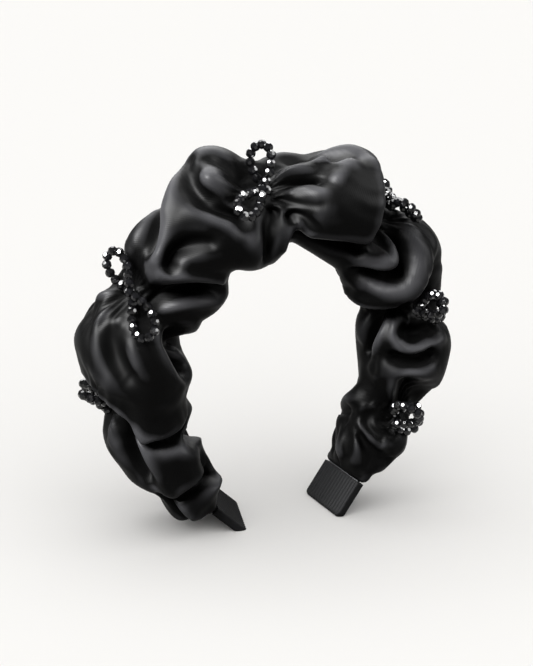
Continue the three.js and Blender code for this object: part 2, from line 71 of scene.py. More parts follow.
# %% The arch as a list of close points
LEFT_TIP = 19
RIGHT_TIP = 21.5
LEFT_REACH = 69
RIGHT_REACH = 58
WIDEST_HEIGHT = 82
CROWN_X = -5
CROWN_HEIGHT = 153
LEFT_SPLAY = 56      # how far each tip leans out from upright, in degrees
RIGHT_SPLAY = 28
TIP_HANDLE = 30
WIDEST_HANDLE = 33
CROWN_ROUNDNESS = 0.56   # a quarter of a circle has 0.55
BAND_THICKNESS = 1.4
SLEEVE_LENGTH = 20


def bezier(start, start_handle, end_handle, end, count=200):
    t = np.linspace(0, 1, count)[:, None]
    points = [np.array(p, float) for p in (start, start_handle, end_handle, end)]
    weights = [(1 - t) ** 3, 3 * t * (1 - t) ** 2, 3 * t ** 2 * (1 - t), t ** 3]
    return sum(weight * point for weight, point in zip(weights, points))


def splayed(x, side, degrees, length):
    """The handle of a tip: `length` away from it, `degrees` out from upright."""
    turn = math.radians(degrees)
    return (x + side * length * math.sin(turn), length * math.cos(turn))


rise = CROWN_ROUNDNESS * (CROWN_HEIGHT - WIDEST_HEIGHT)
left_run = CROWN_ROUNDNESS * (CROWN_X + LEFT_REACH)
right_run = CROWN_ROUNDNESS * (RIGHT_REACH - CROWN_X)
arch = np.vstack([
    bezier((-LEFT_TIP, 0), splayed(-LEFT_TIP, -1, LEFT_SPLAY, TIP_HANDLE),
           (-LEFT_REACH, WIDEST_HEIGHT - WIDEST_HANDLE), (-LEFT_REACH, WIDEST_HEIGHT)),
    bezier((-LEFT_REACH, WIDEST_HEIGHT), (-LEFT_REACH, WIDEST_HEIGHT + rise),
           (CROWN_X - left_run, CROWN_HEIGHT), (CROWN_X, CROWN_HEIGHT))[1:],
    bezier((CROWN_X, CROWN_HEIGHT), (CROWN_X + right_run, CROWN_HEIGHT),
           (RIGHT_REACH, WIDEST_HEIGHT + rise), (RIGHT_REACH, WIDEST_HEIGHT))[1:],
    bezier((RIGHT_REACH, WIDEST_HEIGHT), (RIGHT_REACH, WIDEST_HEIGHT - WIDEST_HANDLE),
           splayed(RIGHT_TIP, 1, RIGHT_SPLAY, TIP_HANDLE), (RIGHT_TIP, 0))[1:],
])
steps = np.linalg.norm(np.diff(arch, axis=0), axis=1)
arch_stations = np.concatenate([[0], np.cumsum(steps)])
ARCH_LENGTH = arch_stations[-1]
print("arch length in mm:", round(ARCH_LENGTH, 1))

# %% [markdown]
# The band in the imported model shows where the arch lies: its leftmost point is the arch's widest
# point on the left, and its top is the crown. Within the sleeves the band is straight. Towards
# each tip its flat side also turns a little to the front or the rear, which is called yaw here.

# %% Place a point of the headband
YAW_LEFT = -7        # in degrees, at the tip
YAW_RIGHT = 11
YAW_SETTLE = 40      # the length over which the yaw dies away
HALF_STEP = 0.5      # the direction along is measured between two close points
band_low, band_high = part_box("band")
arch_origin = np.array([
    band_low[0] / MM + LEFT_REACH + BAND_THICKNESS / 2,
    (band_low[1] + band_high[1]) / 2 / MM,
    band_high[2] / MM - CROWN_HEIGHT - BAND_THICKNESS / 2,
])


def ease(value):
    """0 up to 0, 1 from 1 on, and a smooth step between."""
    value = np.clip(value, 0, 1)
    return value * value * (3 - 2 * value)


def arch_frame(station):
    """The arch's middle and its directions along, out and to the front."""
    station = np.asarray(station, float)
    on_arch = np.clip(station, SLEEVE_LENGTH, ARCH_LENGTH - SLEEVE_LENGTH)

    def point(s):
        x = np.interp(s, arch_stations, arch[:, 0])
        z = np.interp(s, arch_stations, arch[:, 1])
        return np.stack([x, np.zeros_like(x), z], axis=-1)

    along = point(on_arch + HALF_STEP) - point(on_arch - HALF_STEP)
    along /= np.linalg.norm(along, axis=-1, keepdims=True)
    middle = point(on_arch) + along * (station - on_arch)[..., None]
    from_left = ease((station - SLEEVE_LENGTH) / YAW_SETTLE)
    from_right = ease((ARCH_LENGTH - station - SLEEVE_LENGTH) / YAW_SETTLE)
    yaw = np.radians(YAW_LEFT * (1 - from_left) + YAW_RIGHT * (1 - from_right))
    level = -along[..., 2]
    out = np.stack([level * np.cos(yaw), level * np.sin(yaw), along[..., 0]], axis=-1)
    front = np.stack([np.sin(yaw), -np.cos(yaw), np.zeros_like(yaw)], axis=-1)
    return middle, along, out, front


def place(station, out_by, front_by, along_by=0.0):
    """Points in metres in the model's frame, from distances in mm."""
    middle, along, out, front = arch_frame(station)
    offset = out * np.asarray(out_by)[..., None] + front * np.asarray(front_by)[..., None]
    offset = offset + along * np.asarray(along_by)[..., None]
    return (middle + offset + arch_origin) * MM


print("crown at", np.round(place(np.array(ARCH_LENGTH / 2), 0.0, 0.0), 4))

# %% [markdown]
# ## The satin
#
# On the real headband this is one tube of thin black satin, gathered so that it stands in big curled
# puffs with sharp creases between them. It could be simulated as cloth, but it isn't here. One try at
# that, with one setting, took three minutes and gave fine crinkles instead of broad folds, and it
# wasn't taken further. Round swellings alone look like balloons. So the cloth is sculpted in code, as
# a dressmaker would drape it: a plain tube first, then a line for each ridge and each valley, and the
# satin is stretched over all of them.
#
# The plain tube has a row for each section. Four distances from the band's middle give a section,
# and quarters of a superellipse join them, which are a little fuller than an ellipse's.

# %% The plain tube under the folds
SECTIONS = [
    # station, out, front, head, rear: reach from the band's middle
    (20, 9, 18, 5.5, 17.5),
    (28, 13, 19, 7, 18),
    (41, 14, 19.5, 9, 19.5),
    (55, 20, 21, 11, 21),
    (69, 21, 22, 15, 22),
    (87, 12, 22, 24, 22),
    (107, 25, 25, 22.5, 25),
    (123, 18, 23, 18, 23),
    (133, 12, 21, 24.5, 22),
    (151, 17, 24, 28, 24),
    (167, 13, 25, 20, 25),
    (185, 27, 25, 26, 25),
    (201, 12, 22, 25, 22),
    (217, 9, 24, 14, 21),
    (233, 28, 25, 16, 24),
    (243, 21, 24, 18, 24),
    (251, 14, 21, 18, 22),
    (269, 24, 24, 17, 22),
    (289, 12, 19, 17, 21),
    (297, 13, 21, 16, 22),
    (312, 20, 23, 17, 23),
    (326, 19, 21, 15, 21),
    (343, 13, 17, 16, 18),
    (356, 10, 17.5, 14, 18),
    (370, 5, 16.5, 10, 17.5),
    (381, 6, 17.5, 5.5, 17.5),
]

SQUARENESS = 2.3     # 2 is an ellipse, and more is squarer


def section_radius(station, angle):
    rows = np.array(SECTIONS, float)
    row = np.clip(np.searchsorted(rows[:, 0], station) - 1, 0, len(rows) - 2)
    share = ease((station - rows[row, 0]) / (rows[row + 1, 0] - rows[row, 0]))

    def column(k):
        return rows[row, k] * (1 - share) + rows[row + 1, k] * share

    cosine = np.cos(np.radians(angle))
    sine = np.sin(np.radians(angle))
    depth = np.abs(cosine) / np.where(cosine > 0, column(1), column(3))
    width = np.abs(sine) / np.where(sine > 0, column(2), column(4))
    return (depth ** SQUARENESS + width ** SQUARENESS) ** (-1 / SQUARENESS)


print("sections:", len(SECTIONS))

# %% [markdown]
# Each fold is a curved line on the tube through three places. A place is a station, an angle and
# a distance from the middle. Reach is how far the fold shapes the cloth to each side, and lean
# pushes its crest along the arch, so that a puff can curl over its neighbour.
#
# Most of the rows were judged one by one. Others, such as those by the right sleeve, were worked out
# by a small script from points marked along the folds, and many of these were then adjusted.

# %% The folds that show from the front
FOLDS = [
    # station, angle, radius, station, angle, radius, station, angle, radius, reach, lean
    # two lobes by the left sleeve
    (24, 34, 17, 33, 28, 18, 44, 20, 13.5, 7, -2),
    (24, 92, 18, 30, 92, 22, 37, 92, 20, 8, 0),
    (22, 68, 22, 34, 66, 23, 47, 70, 21, 4, -2),
    (25, 54, 13, 34, 52, 14, 46, 54, 13, 3, 0),
    # the petal over them
    (49, 64, 25, 46, 94, 26, 44, 130, 15, 5, -2),
    (42, 66, 16, 39, 95, 16, 38, 130, 10.5, 3, 0),
    (53, 90, 26, 63, 92, 26, 73, 92, 22, 11, 0),
    (49, 68, 25, 62, 70, 26, 78, 67, 23, 4, 0),
    (83, 56, 11.5, 71, 52, 12.5, 57, 54, 16, 4.5, 0),
    (85, 28, 15, 73, 24, 22, 59, 26, 21, 6, 0),
    (58, 0, 21, 53, 34, 22, 50, 60, 22, 6, -1),
    (60, 128, 15, 61, 150, 9, 62, 180, 8, 3, 0),
    (65, 140, 20, 72, 148, 22, 79, 162, 19, 5, 0),
    # the big left puff
    (102, -14, 23, 94, 40, 25, 79, 73, 27, 4, -3),
    (79, 73, 27, 75, 95, 27, 75, 134, 22, 4, -3),
    (84, 52, 15, 70, 88, 15, 68, 138, 12, 3, 0),
    (105, -14, 26, 113, -14, 27, 121, -10, 21, 8, 0),
    (122, 27, 25, 112, 30, 26.5, 102, 50, 27.5, 7, -1),
    (119, 74, 23, 112, 78, 27, 104, 85, 28, 3, 0),
    (121, 44, 20, 112, 54, 20, 104, 72, 23.5, 4.5, 0),
    (118, 96, 24, 106, 100, 27.5, 90, 104, 27.5, 8, 0),
    (124, 96, 21, 112, 109, 26.5, 94, 130, 26, 3.5, 0),
    (119, 124, 12.5, 109, 135, 12.5, 101, 152, 13, 4, 0),
    (107, 170, 21, 96, 167, 26, 85, 160, 24, 7, 0),
    (120, -22, 18, 127, 6, 23, 132, 38, 18, 4, 2),
    (129, 40, 12, 125, 37, 17, 121, 30, 22, 3, 0),
    (131, -28, 16, 134, -5, 15, 135, 18, 13, 3, 0),
    (92, 0, 12.5, 90, 34, 12.5, 83, 50, 12.5, 4, 0),
    # the outer side under the top left puff
    (139, 2, 14, 149, 4, 21, 161, -12, 20, 7, 0),
    (170, -24, 13, 161, 18, 12.5, 152, 42, 15, 4, 0),
    # the top left puff: its rim, its deep hollow, its belly and its dish
    (185, -12, 32.5, 175, 12, 30.5, 168, 34, 28.5, 5, -2),
    (168, 34, 28.5, 160, 52, 28, 153, 62, 28, 5, 0),
    (153, 62, 27.5, 148, 78, 28, 152, 93, 29, 4, 0),
    (152, 93, 29, 155, 106, 30, 161, 132, 30, 4, 0),
    (152, 72, 19, 159, 70, 20, 170, 86, 24, 3.5, 0),
    (170, 44, 28, 174, 60, 29, 181, 81, 28, 6, 0),
    (182, -10, 25, 178, 18, 20, 178, 50, 19, 4, 0),
    (178, 50, 19, 181, 66, 17, 187, 84, 15, 4, 0),
    (184, -22, 31.5, 189, -14, 30.5, 196, -4, 21, 5, 0),
    (182, 25, 28, 184, 38, 26, 190, 48, 17, 5, 0),
    (187, 4, 24, 190, 12, 20, 194, 20, 13, 3, 0),
    (158, 95, 27, 165, 98, 28, 179, 100, 29, 5, 0),
    (177, 104, 28, 184, 114, 31, 193, 128, 31, 7, 0),
    (175, 170, 23, 186, 168, 28, 199, 162, 28, 7, 0),
    (202, 90, 13, 198, 105, 20, 194, 126, 24, 3.5, 0),
    (205, 90, 19, 208, 108, 26, 207, 130, 28, 4.5, 0),
    # the lobe under the second bow
    (133, 84, 11, 143, 101, 12.5, 155, 134, 17.5, 5.5, 0),
    (129, 96, 17, 141, 122, 27, 151, 156, 32, 6, 0),
    (131, 162, 27, 142, 170, 31, 154, 168, 32, 7, 0),
    (119, 118, 11.5, 114, 145, 12.5, 112, 178, 13, 3.5, 0),
    # behind the crown
    (204, -26, 19, 211, -24, 23, 219, -34, 23, 5, 0),
    (204, 42, 13, 211, 30, 22, 220, 34, 21, 5, 0),
    (204, 53, 9.5, 211, 49, 13, 220, 50, 14, 3.5, 0),
    # the curled puff
    (215, -4, 15, 222, 0, 12, 227, 14, 12, 4, 0),
    (220, -10, 20, 229, -6, 31, 238, 4, 33, 5, 0),
    (224, 14, 30.5, 229, 24, 33, 229, 40, 30, 4, 0),
    (207, 52, 14, 217, 55, 26, 229, 41, 29.5, 4, 0),
    (216, 88, 24, 223, 84, 29, 236, 74, 29, 7, 0),
    (206, 72, 12, 212, 79, 19, 219, 78, 26, 3, 0),
    (212, 64, 20, 219, 67, 27, 228, 60, 29, 5, 0),
    (236, 16, 33, 241, 50, 30.5, 244, 88, 27, 5, 3),
    (248, 14, 12.5, 251, 60, 9.5, 252, 86, 12.5, 4, 0),
    (209, 96, 15, 214, 92, 20, 221, 108, 26, 3, 0),
    (221, 109, 26, 233, 102, 27.5, 243, 90, 27, 4, 0),
    (213, 124, 12, 226, 128, 13, 247, 110, 14, 3.5, 0),
    (219, 146, 18, 234, 146, 21, 248, 137, 21, 7, 0),
    # the small lobe and the crescent
    (252, 64, 18, 264, 86, 26, 252, 118, 24, 5, 2),
    (257, 58, 13, 269, 88, 12.5, 260, 122, 12.5, 3.5, 0),
    (265, 34, 25, 279, 84, 28, 269, 134, 24, 6, 2),
    (263, 16, 23, 272, 10, 28, 282, 14, 25.5, 7, 0),
    (268, 158, 22, 277, 146, 26, 284, 108, 25, 4, 1),
    (285, 160, 11.5, 289, 132, 9.5, 290, 104, 10, 4, 0),
    # the right puff
    (289, 110, 15, 299, 115, 24, 307, 108, 26, 4, 0),
    (307, 108, 26, 310, 92, 27, 307, 54, 26, 5, 0),
    (301, 104, 13, 304, 90, 11.5, 303, 54, 15, 4, 0),
    (322, 140, 21, 321, 104, 27, 317, 58, 25, 5, 1),
    (313, 114, 17.5, 314, 95, 16.5, 312, 72, 17.5, 3.5, 0),
    (324, 110, 25, 332, 113, 22, 343, 104, 13, 4, 0),
    (326, 98, 14, 331, 90, 11, 339, 78, 9.5, 5, 0),
    (322, 127, 24, 332, 129, 21, 342, 118, 14, 5, 0),
    (291, 119, 16, 302, 135, 24, 315, 147, 21, 3, 0),
    (292, 137, 10.5, 303, 150, 13, 315, 162, 12.5, 3, 0),
    (292, 174, 16, 302, 176, 21, 313, 176, 19, 5, 0),
    # small gathers by the right sleeve
    (320, 166, 18, 328, 160, 19, 335, 142, 19, 5, 0),
    (356, 210, 20, 346, 164, 21, 344, 136, 17, 4, 0),
    (360, 211, 16, 358, 210, 14, 354, 174, 14, 3, 0),
    (354, 154, 17, 346, 140, 20, 344, 121, 17, 3, 0),
    (354, 153, 17, 358, 128, 20, 360, 94, 21, 3, 0),
    (362, 131, 15.5, 366, 103, 15, 366, 69, 16, 3, 0),
    (362, 164, 18, 368, 156, 19, 374, 148, 17, 3, 0),
    (360, 169, 14.5, 368, 155, 14.5, 376, 143, 13.5, 3, 0),
    (361, 142, 18, 366, 128, 19, 376, 121, 16.5, 3, 0),
    (350, 128, 15.5, 355, 126, 15.5, 358, 100, 17, 3, 0),
    (346, 72, 18, 354, 66, 21, 363, 68, 20, 5, 0),
]

print("folds:", len(FOLDS))

# %% [markdown]
# A stitch pulls the satin down to the band at a single place. There are six, and a bow is sewn
# over each.

# %% The stitches
STITCHES = [
    # station, angle, radius, reach
    (87, 12, 8.5, 6),
    (133, 30, 8.5, 7),
    (201, 45, 9, 8),
    (250, 28, 11, 6),
    (289, 50, 9, 6),
    (343, 75, 11, 6),
]

print("stitches:", len(STITCHES))

# %% [markdown]
# The rear is plainer. The same four ridges run between each pair of stitches, a little crooked,
# with a crease between each two, and the pull of each stitch goes on round the rear as one more
# crease. Here a fold's height is a share of the plain tube's.

# %% The folds of the rear
MOUTH_GAP = 0.3      # from the satin's end to the sleeve
SATIN_START = SLEEVE_LENGTH + MOUTH_GAP
SATIN_END = ARCH_LENGTH - SATIN_START
REAR_RIDGES = (-38, -74, -110, -146)
REAR_CREASE_TURN = 18    # from a ridge to the crease after it, in degrees
REAR_SLANT = 7           # how crooked a fold runs, in degrees
REAR_SHIFT = 4           # how far its middle is off, in mm
REAR_MARGIN = 7          # how far from a stitch it ends
RIDGE_REACH = 6
RIDGE_SWELL = (0.95, 1.1, 0.95)
CREASE_REACH = 3
CREASE_SWELL = (0.8, 0.86, 0.8)
PULL_ANGLES = (-50, -95, -150)
PULL_SWELL = (0.8, 0.82, 0.82)


def rear_fold(stations, angles, swell, reach):
    radii = section_radius(np.array(stations, float), np.array(angles, float)) * swell
    row = [value for spot in zip(stations, angles, radii) for value in spot]
    return (*row, reach, 0)


def rear_folds():
    folds = []
    stops = [SATIN_START, *[row[0] for row in STITCHES], SATIN_END]
    for i, (low, high) in enumerate(zip(stops, stops[1:])):
        start, end = low + REAR_MARGIN, high - REAR_MARGIN
        for j, ridge in enumerate(REAR_RIDGES):
            slant = -REAR_SLANT if (i + j) % 2 else REAR_SLANT
            middle = (start + end) / 2 + (-REAR_SHIFT if j % 2 else REAR_SHIFT)
            places = [start, middle, end]
            angles = [ridge + slant, ridge, ridge - slant]
            folds.append(rear_fold(places, angles, RIDGE_SWELL, RIDGE_REACH))
            if j < len(REAR_RIDGES) - 1:
                angles = [angle - REAR_CREASE_TURN for angle in angles]
                folds.append(rear_fold(places, angles, CREASE_SWELL, CREASE_REACH))
        if i > 0:
            folds.append(rear_fold([low, low + 1, low], PULL_ANGLES, PULL_SWELL, CREASE_REACH))
    return folds


all_folds = FOLDS + rear_folds()
print("folds in all:", len(all_folds))

# %% [markdown]
# Between the fold lines the satin is drawn by each of them with a weight that drops with distance.
# A ridge has a broad soft crest and a valley is a sharp crease, because satin bends gently where
# it is blown up and tightly where it is pulled in.

# %% The weight of a fold
MM_PER_DEGREE = 0.384    # round a puff of the usual radius, 22 mm
RIDGE_SOFTNESS = 0.6
CREASE_SOFTNESS = 0.3
FALLOFF = 2.6            # how steeply a fold's weight drops
FADE_FROM = 2.0          # where it fades out, in reaches
FADE_TO = 3.2


def turned(angle):
    return (angle + 180) % 360 - 180


def fold_steps(row, count=10):
    start, middle, end = np.array(row[:9], float).reshape(3, 3)
    handle = 2 * middle - 0.5 * start - 0.5 * end
    t = np.linspace(0, 1, count + 1)[:, None]
    return (1 - t) ** 2 * start + 2 * t * (1 - t) * handle + t ** 2 * end


def nearest_on_fold(steps_of_fold, station, angle):
    """How far each place is from the fold, and how far out the fold lies there."""
    best = np.full_like(station, np.inf)
    radius = np.zeros_like(station)
    for low, high in zip(steps_of_fold, steps_of_fold[1:]):
        run = high[0] - low[0]
        rise = (high[1] - low[1]) * MM_PER_DEGREE
        x = station - low[0]
        y = turned(angle - low[1]) * MM_PER_DEGREE
        share = np.clip((x * run + y * rise) / (run * run + rise * rise), 0, 1)
        distance = np.hypot(x - share * run, y - share * rise)
        nearer = distance < best
        best = np.where(nearer, distance, best)
        radius = np.where(nearer, low[2] + (high[2] - low[2]) * share, radius)
    return best, radius


def weigh(distance, reach, softness):
    near = (np.hypot(distance, softness * reach) / reach) ** -FALLOFF
    return near * np.clip((FADE_TO - distance / reach) / (FADE_TO - FADE_FROM), 0, 1)


ridge_weights = weigh(np.array([0.0, 1.0, 2.0, 3.0]), 1, RIDGE_SOFTNESS)
print("a ridge's weight 0, 1, 2 and 3 reaches away:", np.round(ridge_weights, 2))

# %% [markdown]
# The satin's distance from the band's middle is the weighted mean of the folds, the stitches and
# the plain tube. The tube has a small weight everywhere, so it is left far from every fold, and
# near the ends the folds give way to it. Lean is added up apart, because it moves the satin along
# the band and not out from it.

# %% Drape the satin over the folds
REST_WEIGHT = 0.06       # of the plain tube
LEAN_WIDTH = 0.9         # how wide a crest is pushed along, in reaches
STITCH_WEIGHT = 1.5
STITCH_SOFTNESS = 0.35
END_EASE = 9


def drape(station, angle):
    """The satin's distance from the band's middle, and its shift along the band."""
    plain = section_radius(station, angle)
    total = plain * REST_WEIGHT
    weights = np.full_like(plain, REST_WEIGHT)
    shift = np.zeros_like(plain)
    for row in all_folds:
        reach, lean = row[9], row[10]
        fold = fold_steps(row)
        middle_radius = section_radius(np.array([row[3]], float), np.array([row[4]], float))[0]
        softness = RIDGE_SOFTNESS if row[5] > middle_radius else CREASE_SOFTNESS
        margin = FADE_TO * reach
        near = (station > fold[:, 0].min() - margin) & (station < fold[:, 0].max() + margin)
        distance, radius = nearest_on_fold(fold, station[near], angle[near])
        weight = weigh(distance, reach, softness)
        total[near] += weight * radius
        weights[near] += weight
        shift[near] += lean * np.exp(-((distance / (LEAN_WIDTH * reach)) ** 2))
    for stitch_station, stitch_angle, radius, reach in STITCHES:
        across = turned(angle - stitch_angle) * MM_PER_DEGREE
        distance = np.hypot(station - stitch_station, across)
        weight = STITCH_WEIGHT * weigh(distance, reach, STITCH_SOFTNESS)
        total += weight * radius
        weights += weight
    from_end = np.minimum(station - SATIN_START, SATIN_END - station)
    settle = ease(from_end / END_EASE)
    return plain * (1 - settle) + total / weights * settle, shift * settle


crown_radius, _ = drape(np.array([ARCH_LENGTH / 2]), np.array([0.0]))
print("satin over the crown in mm:", np.round(crown_radius, 1))

# %% [markdown]
# Small gathers run out from each stitch like spokes. They are shallow and a little wavy, some are
# deeper than others, and they die away where the cloth is free.

# %% Gathers round the stitches
GATHER_DEPTH = 0.75
GATHER_START = 4         # the distance from the stitch by which they are at full depth
GATHER_REACH = 17
GATHER_SPOKES = 15
GATHER_WOBBLE = 0.25     # how far a spoke sways, in radians
WOBBLE_LENGTH = 5
DEPTH_MEAN = 0.6         # the depth changes by the rest, three times round the stitch
DEPTH_WAVES = 3
rng = random.Random(11)
gather_phases = [[rng.uniform(0, 2 * math.pi) for _ in range(3)] for _ in STITCHES]


def gathers(station, angle):
    rise = np.zeros_like(station)
    for (stitch_station, stitch_angle, *_), phases in zip(STITCHES, gather_phases):
        along = station - stitch_station
        across = turned(angle - stitch_angle) * MM_PER_DEGREE
        distance = np.hypot(along, across)
        bearing = np.arctan2(across, along)
        wobble = bearing + GATHER_WOBBLE * np.sin(distance / WOBBLE_LENGTH + phases[0])
        spokes = np.cos(GATHER_SPOKES * wobble + phases[1])
        uneven = DEPTH_MEAN + (1 - DEPTH_MEAN) * np.sin(DEPTH_WAVES * bearing + phases[2])
        strength = ease(distance / GATHER_START) * np.exp(-((distance / GATHER_REACH) ** 2))
        rise += GATHER_DEPTH * spokes * uneven * strength
    return rise


print("deepest gather in mm:", GATHER_DEPTH)

# %% [markdown]
# At both ends the satin is drawn in to the flat mouth of a sleeve, over a few millimetres, as
# cloth is that is tucked into a pocket.

# %% Where a point of the satin lies
MOUTH_EASE = 3.5
MOUTH_HALF_WIDTH = 15.0
MOUTH_HALF_THICK = 1.85
MOUTH_SQUARENESS = 4


def mouth_radius(angle):
    """The flat section of a sleeve's mouth, which the satin's ends are drawn in to."""
    thick = np.abs(np.cos(np.radians(angle)) / MOUTH_HALF_THICK) ** MOUTH_SQUARENESS
    wide = np.abs(np.sin(np.radians(angle)) / MOUTH_HALF_WIDTH) ** MOUTH_SQUARENESS
    return (thick + wide) ** (-1 / MOUTH_SQUARENESS)


def satin_places(station, angle):
    radius, shift = drape(np.clip(station, SATIN_START, SATIN_END), angle)
    radius = radius + gathers(station, angle)
    from_end = np.minimum(station - SATIN_START, SATIN_END - station)
    rounding = np.clip(from_end / MOUTH_EASE, 0, 1)
    rounding = np.sqrt(1 - (1 - rounding) ** 2)
    radius = mouth_radius(angle) * (1 - rounding) + radius * rounding
    out = radius * np.cos(np.radians(angle))
    front = radius * np.sin(np.radians(angle))
    return place(station, out, front, shift)


print("mouth in mm:", 2 * MOUTH_HALF_WIDTH, "by", 2 * MOUTH_HALF_THICK)

# %% [markdown]
# The satin and the sleeves are made in the same way: a flat grid, bent round into a tube. Each
# corner of the grid keeps its place in the flat cloth as a UV, in mm, so that a weave has its real
# size and follows every bend. The edges that meet are then sewn together.

# %% Bend a grid and keep its weave
def bent_grid(columns, rows, places_of):
    """A grid whose points go where `places_of` says, from their two shares between 0 and 1."""
    bm = bmesh.new()
    weave = bm.loops.layers.uv.new("UVMap")
    bmesh.ops.create_grid(bm, x_segments=columns, y_segments=rows, size=0.5, calc_uvs=True)
    shares = np.array([vert.co for vert in bm.verts])[:, :2] + 0.5
    for vert, corner in zip(bm.verts, places_of(shares[:, 0], shares[:, 1])):
        vert.co = corner
    return bm, weave


def lay_weave(bm, weave, grid):
    """The UV map in mm of cloth, from the station and the angle that `grid` gives."""
    for face in bm.faces:
        for loop in face.loops:
            station, angle = grid(*loop[weave].uv)
            loop[weave].uv = (station, angle * MM_PER_DEGREE)


def sew(bm, within):
    """Joins points closer than this many mm, shades the cloth smooth and returns its area."""
    bmesh.ops.remove_doubles(bm, verts=bm.verts, dist=within * MM)
    bmesh.ops.recalc_face_normals(bm, faces=bm.faces)
    for face in bm.faces:
        face.smooth = True
    return sum(face.calc_area() for face in bm.faces)


def new_piece(name, bm):
    mesh = bpy.data.meshes.new(name)
    bm.to_mesh(mesh)
    bm.free()
    piece = bpy.data.objects.new(name, mesh)
    bpy.context.scene.collection.objects.link(piece)
    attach(piece, "root")
    return piece


print("a full turn of the weave in mm:", round(360 * MM_PER_DEGREE))

# %% [markdown]
# A crest of stretched satin is smoother than a slack valley. The finish also paints a crest's colour
# lighter, as a painted highlight, and a valley's darker, as painted shade. The finish can't tell one
# from the other, so each point stores how far it stands out from the middle of the four places a
# little way off. The finish reads this later as an attribute named crest.

# %% Mark the crests
CREST_REACH = 5
CREST_TURN = CREST_REACH / MM_PER_DEGREE


def mark_crests(bm, weave):
    layer = bm.verts.layers.float.new("crest")
    marks = np.array([vert.link_loops[0][weave].uv for vert in bm.verts])
    station = marks[:, 0]
    angle = marks[:, 1] / MM_PER_DEGREE

    def radius(by, turn):
        return drape(np.clip(station + by, SATIN_START, SATIN_END), angle + turn)[0]

    along = radius(CREST_REACH, 0) + radius(-CREST_REACH, 0)
    around = (along + radius(0, CREST_TURN) + radius(0, -CREST_TURN)) / 4
    crests = radius(0, 0) - around
    for vert, crest in zip(bm.verts, crests):
        vert[layer] = crest
    return crests


print("crests are compared over", CREST_REACH, "mm")

# %% [markdown]
# The satin's grid is as long as the satin and as wide as its girth. Its rows lie closer towards
# the front, where the folds are. Its two long edges meet inside the head opening, at 180 degrees,
# and are sewn together there. Solidify then gives the cloth its thickness, inwards.
#
# Real gathers need satin that is cut longer than the arch. The flat size given for it below was
# lowered to fit the mesh. This mesh has less cloth in its folds than that, so it isn't the size that
# a dressmaker would cut.

# %% The satin's mesh
STATIONS = 322
AROUND = 152
CLOTH_THICK = 0.5
FINE_SIDE = 60       # the angle round which the rows are closest
FINENESS = 24
SEAM = 0.02


def satin_grid(along_share, around_share):
    """The station and the angle of each point of the flat grid."""
    station = SATIN_START + along_share * (SATIN_END - SATIN_START)
    turn = around_share * 360 - 180
    drift = np.sin(np.radians(turn - FINE_SIDE)) - math.sin(math.radians(-180 - FINE_SIDE))
    return station, turn - FINENESS * drift


bm, weave = bent_grid(STATIONS, AROUND, lambda *shares: satin_places(*satin_grid(*shares)))
lay_weave(bm, weave, satin_grid)
crests = mark_crests(bm, weave)
satin_area = sew(bm, SEAM)
satin = new_piece("gathered_satin", bm)
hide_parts("satin_cover")
wall = satin.modifiers.new("cloth", "SOLIDIFY")
wall.thickness = CLOTH_THICK * MM
wall.offset = -1
print("satin faces:", len(satin.data.polygons), "area in square metres:", round(satin_area, 4))
print("crests from", round(crests.min(), 1), "to", round(crests.max(), 1), "mm")

# %% [markdown]
# ## The ribbon sleeves
#
# A short length of ribbed ribbon is folded round each tip and sewn shut. It is a flat pocket with
# rounded corners, and its ribs run along it. It could be lofted, but another bent grid is
# simpler: one direction goes from the closed end to the mouth and back inside, and the other
# goes round the pocket, over one rib after another. Columns lie closer at the closed end, whose
# edge is round.

# %% Bend a grid into a ribbed pocket
SLEEVE_HALF_WIDTH = 15.8
SLEEVE_HALF_THICK = 2.0
SLEEVE_WALL = 0.8
CORNER_RADIUS = 3.0
FLATNESS = 3.2       # how soon the section is flat behind its round edge
RIBS = 14
RIB_HEIGHT = 0.5
RIB_MEAN = 0.65      # taken off each rib, so that the ribs keep the sleeve's thickness
HEM_DEPTH = 5        # where the inside ends, from the closed end
SLEEVE_COLUMNS = 56
SLEEVE_ROWS = 300
OUTER_SHARE = 0.6    # of the columns, and the rest go back inside
END_FINENESS = 1.3


def pocket_section(depth, turn, inset, ribbed):
    """Where a point of the pocket's flattened section is: across its thickness and its width."""
    corner = np.clip(1 - depth / CORNER_RADIUS, 0, 1)
    half_width = SLEEVE_HALF_WIDTH - inset - CORNER_RADIUS * (1 - np.sqrt(1 - corner ** 2))
    closing = np.clip(1 - depth / SLEEVE_HALF_THICK, 0, 1)
    half_thick = (SLEEVE_HALF_THICK - inset) * np.sqrt(1 - closing ** 2)
    across = -np.cos(turn)
    level = np.clip(np.abs(np.sin(turn)) * FLATNESS, 0, 1)
    rounded = np.sqrt(1 - (1 - level) ** 2)
    rib = np.abs(np.sin(across * RIBS * math.pi / 2)) - RIB_MEAN
    ridge = ribbed * RIB_HEIGHT * rib * level * (half_thick / SLEEVE_HALF_THICK)
    return np.sign(np.sin(turn)) * (half_thick * rounded + ridge), across * half_width


def pocket(station_of_depth):
    def places(along_share, around_share):
        turn = around_share * 2 * math.pi
        outside = along_share <= OUTER_SHARE
        going_out = np.clip(along_share / OUTER_SHARE, 0, 1)
        coming_back = np.clip((along_share - OUTER_SHARE) / (1 - OUTER_SHARE), 0, 1)
        depth = np.where(outside, SLEEVE_LENGTH * going_out ** END_FINENESS,
                         SLEEVE_LENGTH - (SLEEVE_LENGTH - HEM_DEPTH) * coming_back)
        inset = np.where(outside, 0.0, SLEEVE_WALL)
        thick, across = pocket_section(depth, turn, inset, np.where(outside, 1.0, 0.0))
        corners = place(station_of_depth(depth), thick, across)
        corners[:, 2] = np.maximum(corners[:, 2], 0)
        return corners
    return places


print("rib pitch in mm:", round(2 * SLEEVE_HALF_WIDTH / RIBS, 2))

# %% [markdown]
# Both pockets stand on the floor, so whatever would reach below it is pressed flat. The depth into
# a pocket is counted from its closed end, which is one end of the arch or the other.

